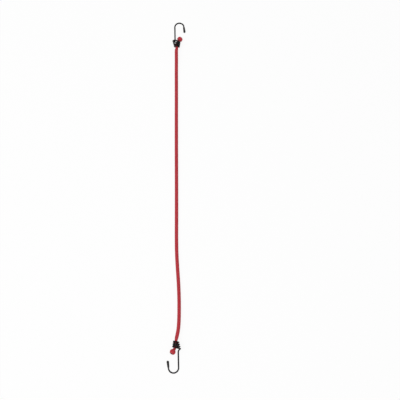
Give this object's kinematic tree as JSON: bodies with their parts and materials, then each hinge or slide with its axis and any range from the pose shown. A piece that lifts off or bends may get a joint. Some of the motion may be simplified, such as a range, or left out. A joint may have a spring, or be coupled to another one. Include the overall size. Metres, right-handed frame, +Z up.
{
  "type": "bungee cord",
  "caption": "Elastic braided cord with a coiled black wire hook and a soft tip cap on each end, for holding loads down.",
  "frame": {"origin": "on the surface the cord lies on, in the middle of the object's box", "axes": "+Z up, +Y along the cord from the near hook to the far hook, +X to the right seen from the near end"},
  "size_m": [0.0366, 0.8128, 0.0188],
  "materials": {
    "red_braid": "woven synthetic yarn, dull",
    "latex": "plain natural rubber",
    "black_wire": "satin black coating",
    "black_vinyl": "dipped, soft matte",
    "dark_steel": "phosphated, dull dark grey"
  },
  "bodies": {
    "cord": {"braided_sheath": "red_braid", "rubber_strand_01": "latex", "rubber_strand_02": "latex", "rubber_strand_03": "latex", "rubber_strand_04": "latex", "rubber_strand_05": "latex", "rubber_strand_06": "latex", "rubber_strand_07": "latex", "rubber_strand_08": "latex", "rubber_strand_09": "latex", "rubber_strand_10": "latex", "rubber_strand_11": "latex", "rubber_strand_12": "latex", "rubber_strand_13": "latex", "rubber_strand_14": "latex", "rubber_strand_15": "latex", "rubber_strand_16": "latex", "near_cord_crimp": "dark_steel"},
    "hook_near": {"near_hook": "black_wire", "near_hook_tip": "black_vinyl"},
    "stretched_end": {"far_cord_crimp": "dark_steel"},
    "hook_far": {"far_hook": "black_wire", "far_hook_tip": "black_vinyl"}
  },
  "joints": [
    {"name": "near_hook_swivel", "type": "hinge", "parent": "cord", "child": "hook_near", "pos_m": [0.00165, -0.3378, 0.0092], "axis": [0, -1, 0], "range_deg": [-80, 110]},
    {"name": "stretch", "type": "slide", "parent": "cord", "child": "stretched_end", "axis": [0, 1, 0], "range_m": [0, 0.4], "stiffness_N_per_m": 300, "deforming": ["braided_sheath", "rubber_strand_01", "rubber_strand_02", "rubber_strand_03", "rubber_strand_04", "rubber_strand_05", "rubber_strand_06", "rubber_strand_07", "rubber_strand_08", "rubber_strand_09", "rubber_strand_10", "rubber_strand_11", "rubber_strand_12", "rubber_strand_13", "rubber_strand_14", "rubber_strand_15", "rubber_strand_16"]},
    {"name": "far_hook_swivel", "type": "hinge", "parent": "stretched_end", "child": "hook_far", "pos_m": [-0.00165, 0.3378, 0.0092], "axis": [0, 1, 0], "range_deg": [-50, 70]}
  ]
}
